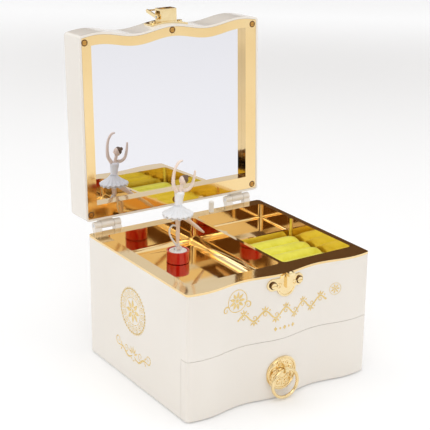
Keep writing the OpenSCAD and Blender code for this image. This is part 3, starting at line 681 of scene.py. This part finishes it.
# Standing leg, raised leg, neck, two arms, head and nose
skin_parts = [
    limb([mm(DX, DY, 84.2), mm(DX, DY, 88), mm(DX + 0.1, DY + 0.3, 94), mm(DX, DY, 99), mm(DX, DY, 104),
          mm(DX, DY, 110)], mms(0.8, 1.0, 1.6, 1.35, 1.9, 2.2)),
    limb([mm(DX + 1.2, DY + 0.8, 109.5), mm(DX + 8, DY + 2.6, 104), mm(DX + 14, DY + 4, 99.2),
          mm(DX + 20, DY + 5.6, 94), mm(3.2, DY + 7, 88.4)], mms(2.2, 1.9, 1.35, 1.4, 0.7)),
    limb([mm(DX + 1.5, DY, 124), mm(DX + 2.4, DY, 128), mm(DX + 3.6, DY, 132)], mms(1.7, 1.3, 1.2)),
    limb([mm(DX - 0.9, DY, 126.2), mm(DX - 3.6, DY - 0.4, 131), mm(DX - 4, DY - 0.6, 137),
          mm(DX - 2.8, DY - 0.9, 143.6), mm(DX + 0.2, DY - 1, 148.2), mm(DX + 3.4, DY - 1, 149.0)],
         mms(1.5, 1.4, 1.2, 1.0, 0.95, 0.6)),
    limb([mm(DX + 3.6, DY, 126.4), mm(DX + 8, DY - 0.3, 126.6), mm(DX + 11.2, DY - 0.5, 129),
          mm(-10.4, DY - 0.8, 134.8), mm(-9.6, DY - 1, 140.0)], mms(1.5, 1.3, 1.15, 1.0, 0.7)),
    ball(mm(DX + 4.2, DY - 0.2, 134.1), mms(2.75, 2.95, 3.35)),
    ball(mm(DX + 1.8, DY - 1.7, 133.9), mms(0.45, 0.4, 0.4), 8, 10),
]
verts, faces = merge(skin_parts)
dancer = mesh_object("dancer_body", verts, faces, "skin_plastic", "dancer")
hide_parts("dancer_figure")

# Hair and its bun
verts, faces = merge([
    ball(mm(DX + 5.2, DY - 0.25, 134.7), mms(2.85, 3.15, 3.2)),
    ball(mm(DX + 7.6, DY + 0.4, 136.0), mms(1.4, 1.4, 1.4), 10, 14),
])
hair = mesh_object("dancer_hair", verts, faces, "hair", "dancer")

# Bodice with its two straps
verts, faces = merge([
    limb([mm(DX, DY, 109.5), mm(DX + 0.2, DY, 113), mm(DX + 0.5, DY, 117), mm(DX + 1.0, DY, 121),
          mm(DX + 1.4, DY, 125), mm(DX + 1.5, DY, 126.2)], mms(3.6, 3.3, 2.7, 3.1, 3.6, 2.6), 24),
    limb([mm(DX - 0.6, DY - 0.3, 125.4), mm(DX - 0.5, DY - 0.2, 127.0)], mms(0.7, 0.5), 10),
    limb([mm(DX + 3.2, DY - 0.3, 125.4), mm(DX + 3.2, DY - 0.2, 127.0)], mms(0.7, 0.5), 10),
])
bodice = mesh_object("dancer_bodice", verts, faces, "skirt", "dancer")


def tutu(name, z_waist, z_edge, r_edge, pleats, phase, ruffle):
    """Thin pleated disc of a skirt: two skins a fraction of a millimetre apart."""
    rings, sides = 10, pleats * 8
    thick = 0.00022
    verts, faces = [], []
    for skin in (0, 1):
        for i in range(rings + 1):
            t = i / rings
            r = SKIRT_WAIST + (r_edge - SKIRT_WAIST) * t
            z = z_waist + (z_edge - z_waist) * t ** 0.75
            for k in range(sides):
                a = 2 * math.pi * k / sides
                fold = ruffle * t ** 1.4 * math.sin(pleats * a + phase)
                rr = r * (1 - 0.02 * t * (0.5 + 0.5 * math.cos(pleats * a + phase)))
                verts.append(Vector((DX * MM + rr * math.cos(a), DY * MM + rr * math.sin(a),
                                     z + fold - skin * thick)))
    layer = (rings + 1) * sides
    for skin in (0, 1):
        for i in range(rings):
            for k in range(sides):
                nxt = (k + 1) % sides
                q = [skin * layer + i * sides + k, skin * layer + (i + 1) * sides + k,
                     skin * layer + (i + 1) * sides + nxt, skin * layer + i * sides + nxt]
                faces.append(tuple(q if skin == 0 else q[::-1]))
    for edge in (0, rings):
        for k in range(sides):
            nxt = (k + 1) % sides
            a, b = edge * sides + k, edge * sides + nxt
            faces.append((a, b, layer + b, layer + a))
    return mesh_object(name, verts, faces, "skirt", "dancer")


SKIRT_WAIST = 0.0026
SKIRT_R = (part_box("dancer_skirt")[1][0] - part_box("dancer_skirt")[0][0]) / 2
upper = tutu("dancer_tutu_upper", 0.1168, 0.1100, SKIRT_R * 0.98, 17, 0.0, 0.00045)
lower = tutu("dancer_tutu_lower", 0.1150, 0.1086, SKIRT_R * 0.92, 14, 1.1, 0.00045)
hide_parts("dancer_skirt")

# Small coil at the foot, close on the leg so that it clears the disc when she lies down
coil = []
for i in range(97):
    a = 2 * math.pi * i / 24
    coil.append(mm(DX + 1.0 * math.cos(a), DY + 1.0 * math.sin(a), 84.95 + 0.62 * i / 24))
verts, faces = tube(coil, [0.00022] * len(coil), 8)
spring = mesh_object("dancer_foot_coil", verts, faces, "white_plastic", "dancer")

# White loop that bends out beside the standing leg, as (way out from the leg, height) in millimetres
LOOP = ((-0.6, 100.4), (-3.6, 100.9), (-5.7, 98.2), (-5.9, 94.6), (-4.5, 91.0), (-2.4, 87.8), (-0.7, 85.0))
loop_path = bezier_path([mm(DX + 0.83 * u, DY - 0.55 * u, z) for u, z in LOOP])
verts, faces = tube(loop_path, [0.0007] * len(loop_path), 12)
loop = mesh_object("dancer_leg_loop", verts, faces, "white_plastic", "dancer")


# ---------------------------------------------------------------- painted shade: dark rings round the frame's screws and the catch's screws
def torus(centre, axis, major, minor, sides=32, around=10):
    axis = axis.normalized()
    side = axis.orthogonal().normalized()
    up = axis.cross(side)
    verts, faces = [], []
    for i in range(sides):
        a = 2 * math.pi * i / sides
        out = math.cos(a) * side + math.sin(a) * up
        for k in range(around):
            b = 2 * math.pi * k / around
            verts.append(centre + out * (major + minor * math.cos(b)) + axis * minor * math.sin(b))
    for i in range(sides):
        for k in range(around):
            j, m = (i + 1) % sides, (k + 1) % around
            faces.append((i * around + k, j * around + k, j * around + m, i * around + m))
    return verts, faces


def islands(node):
    """Boxes of the separate solids of a node, as (low corner, high corner)."""
    bm = bmesh.new()
    bm.from_mesh(NODES[node].data)
    bmesh.ops.remove_doubles(bm, verts=bm.verts, dist=WELD_GAP)
    left, found = set(bm.verts), []
    while left:
        seed = min(left, key=lambda v: v.index)
        group, queue = {seed}, [seed]
        while queue:
            for edge in queue.pop().link_edges:
                for v in edge.verts:
                    if v not in group:
                        group.add(v)
                        queue.append(v)
        left -= group
        cos = [v.co for v in group]
        found.append((Vector([min(c[i] for c in cos) for i in range(3)]),
                      Vector([max(c[i] for c in cos) for i in range(3)])))
    bm.free()
    return found


# Round knob on the catch's hook
catch_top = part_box("catch_plate")[1][2]
knob_centre = Vector((catch_x + 0.0009, catch_lo[1] + 0.0015, catch_top - 0.0006))
verts, faces = ball(knob_centre, mms(1.4, 1.4, 1.4))
knob = mesh_object("catch_knob", verts, faces, "gold_metal", "case")

# Dark rings of painted shade round the catch's screw heads
shade_rings = []
for low, high in islands("catch_screws"):
    head = Vector(((low.x + high.x) / 2, low.y + 0.0009, (low.z + high.z) / 2))
    shade_rings.append(torus(head, Vector((0, 1, 0)), (high.x - low.x) / 2 + 0.0003, 0.00035))
verts, faces = merge(shade_rings)
catch_shade_rings = mesh_object("catch_screw_painted_shade", verts, faces, "painted_screw_shade", "case")

# Dark rings of painted shade round the frame's screw heads
shade_rings = []
for low, high in islands("frame_screws"):
    head = Vector(((low.x + high.x) / 2, low.y + 0.0005, (low.z + high.z) / 2))
    shade_rings.append(torus(head, Vector((0, 1, 0)), (high.x - low.x) / 2 + 0.00035, 0.00055))
verts, faces = merge(shade_rings)
frame_shade_rings = mesh_object("frame_screw_painted_shade", verts, faces, "painted_screw_shade", "lid")


# ---------------------------------------------------------------- camera
VIEW_DEGREES = (-33.48, 19.18, 0.56)           # azimuth, elevation and roll
VIEW_OFFSET = (0.04836, -0.70925, 6.0368)      # from the eye to the foot of the box, in box widths
LENS_MM = 103.3


def place_camera():
    """The view: 33.5 degrees round to the left, 19.2 degrees up, a long lens and no shift."""
    cam = bpy.data.cameras.new("camera")
    cam.sensor_width = 36.0
    cam.lens = LENS_MM
    cam.clip_start = 0.02
    obj = bpy.data.objects.new("camera", cam)
    bpy.context.scene.collection.objects.link(obj)
    azimuth, elevation, roll = map(math.radians, VIEW_DEGREES)
    look = Vector((-math.sin(azimuth) * math.cos(elevation), math.cos(azimuth) * math.cos(elevation),
                   -math.sin(elevation)))
    right = Vector((math.cos(azimuth), math.sin(azimuth), 0))
    up = right.cross(look)
    r = math.cos(roll) * right + math.sin(roll) * up
    u = -math.sin(roll) * right + math.cos(roll) * up
    offset = Vector(VIEW_OFFSET) * 2 * HALF_W
    eye = -(r * offset.x + u * offset.y) - look * offset.z
    basis = Matrix((r, u, -look)).transposed().to_4x4()
    basis.translation = eye
    obj.matrix_world = basis
    bpy.context.scene.camera = obj


place_camera()


# ---------------------------------------------------------------- stage and light
def stage_plane(name, centre, size, spin, colour, emission=0.0):
    mesh = bpy.data.meshes.new(name)
    x, y = size[0] / 2, size[1] / 2
    mesh.from_pydata([(-x, -y, 0), (x, -y, 0), (x, y, 0), (-x, y, 0)], [], [(0, 1, 2, 3)])
    obj = bpy.data.objects.new(name, mesh)
    obj.location = centre
    obj.rotation_euler = spin
    bpy.context.scene.collection.objects.link(obj)
    mat, _, shader = new_material(name)
    shader.inputs["Base Color"].default_value = (*colour, 1)
    shader.inputs["Roughness"].default_value = 0.9
    if emission:
        shader.inputs["Emission Color"].default_value = (*colour, 1)
        shader.inputs["Emission Strength"].default_value = emission
    mesh.materials.append(mat)
    return obj


def soft_light(name, spot, aim, size, power):
    data = bpy.data.lights.new(name, "AREA")
    data.shape = "RECTANGLE"
    data.size, data.size_y = size
    data.energy = power
    obj = bpy.data.objects.new(name, data)
    obj.location = spot
    obj.rotation_euler = (Vector(aim) - Vector(spot)).to_track_quat("-Z", "Y").to_euler()
    bpy.context.scene.collection.objects.link(obj)


stage_plane("floor", (0, 0, 0), (6, 6), (0, 0, 0), grey(0.95), emission=0.07)

# Pale room, a touch brighter overhead
world = bpy.data.worlds.new("studio")
world.use_nodes = True
bpy.context.scene.world = world
sky = world.node_tree
background = sky.nodes["Background"]
coords = sky.nodes.new("ShaderNodeTexCoord")
split = sky.nodes.new("ShaderNodeSeparateXYZ")
height = ramp(sky, split.outputs["Z"], (0.96, 0.96, 0.97), (1.0, 1.0, 1.0), 0.0, 0.75)
sky.links.new(coords.outputs["Generated"], split.inputs["Vector"])
sky.links.new(height.outputs["Color"], background.inputs["Color"])
background.inputs["Strength"].default_value = 0.92

soft_light("key", (-0.55, -0.85, 1.05), (0, 0, 0.08), (0.7, 0.7), 2.6)
soft_light("top", (0.0, 0.15, 1.3), (0, 0, 0.1), (0.9, 0.9), 2.2)


CARD_BROWN = (0.11, 0.055, 0.022)


def dark_flag(name, way, size):
    """Dark card facing the box from that way; the gold picks up its deep brown from it. No camera sees it."""
    way = Vector(way)
    spin = (-way).to_track_quat("Z", "Y").to_euler()
    obj = stage_plane(name, way, size, spin, CARD_BROWN)
    obj.visible_camera = False


dark_flag("flag_behind", (0.69, 0.92, 0.58), (1.00, 0.55))
dark_flag("flag_front", (-0.66, -1.0, 0.50), (0.75, 0.55))

bpy.context.scene.view_settings.view_transform = "Standard"
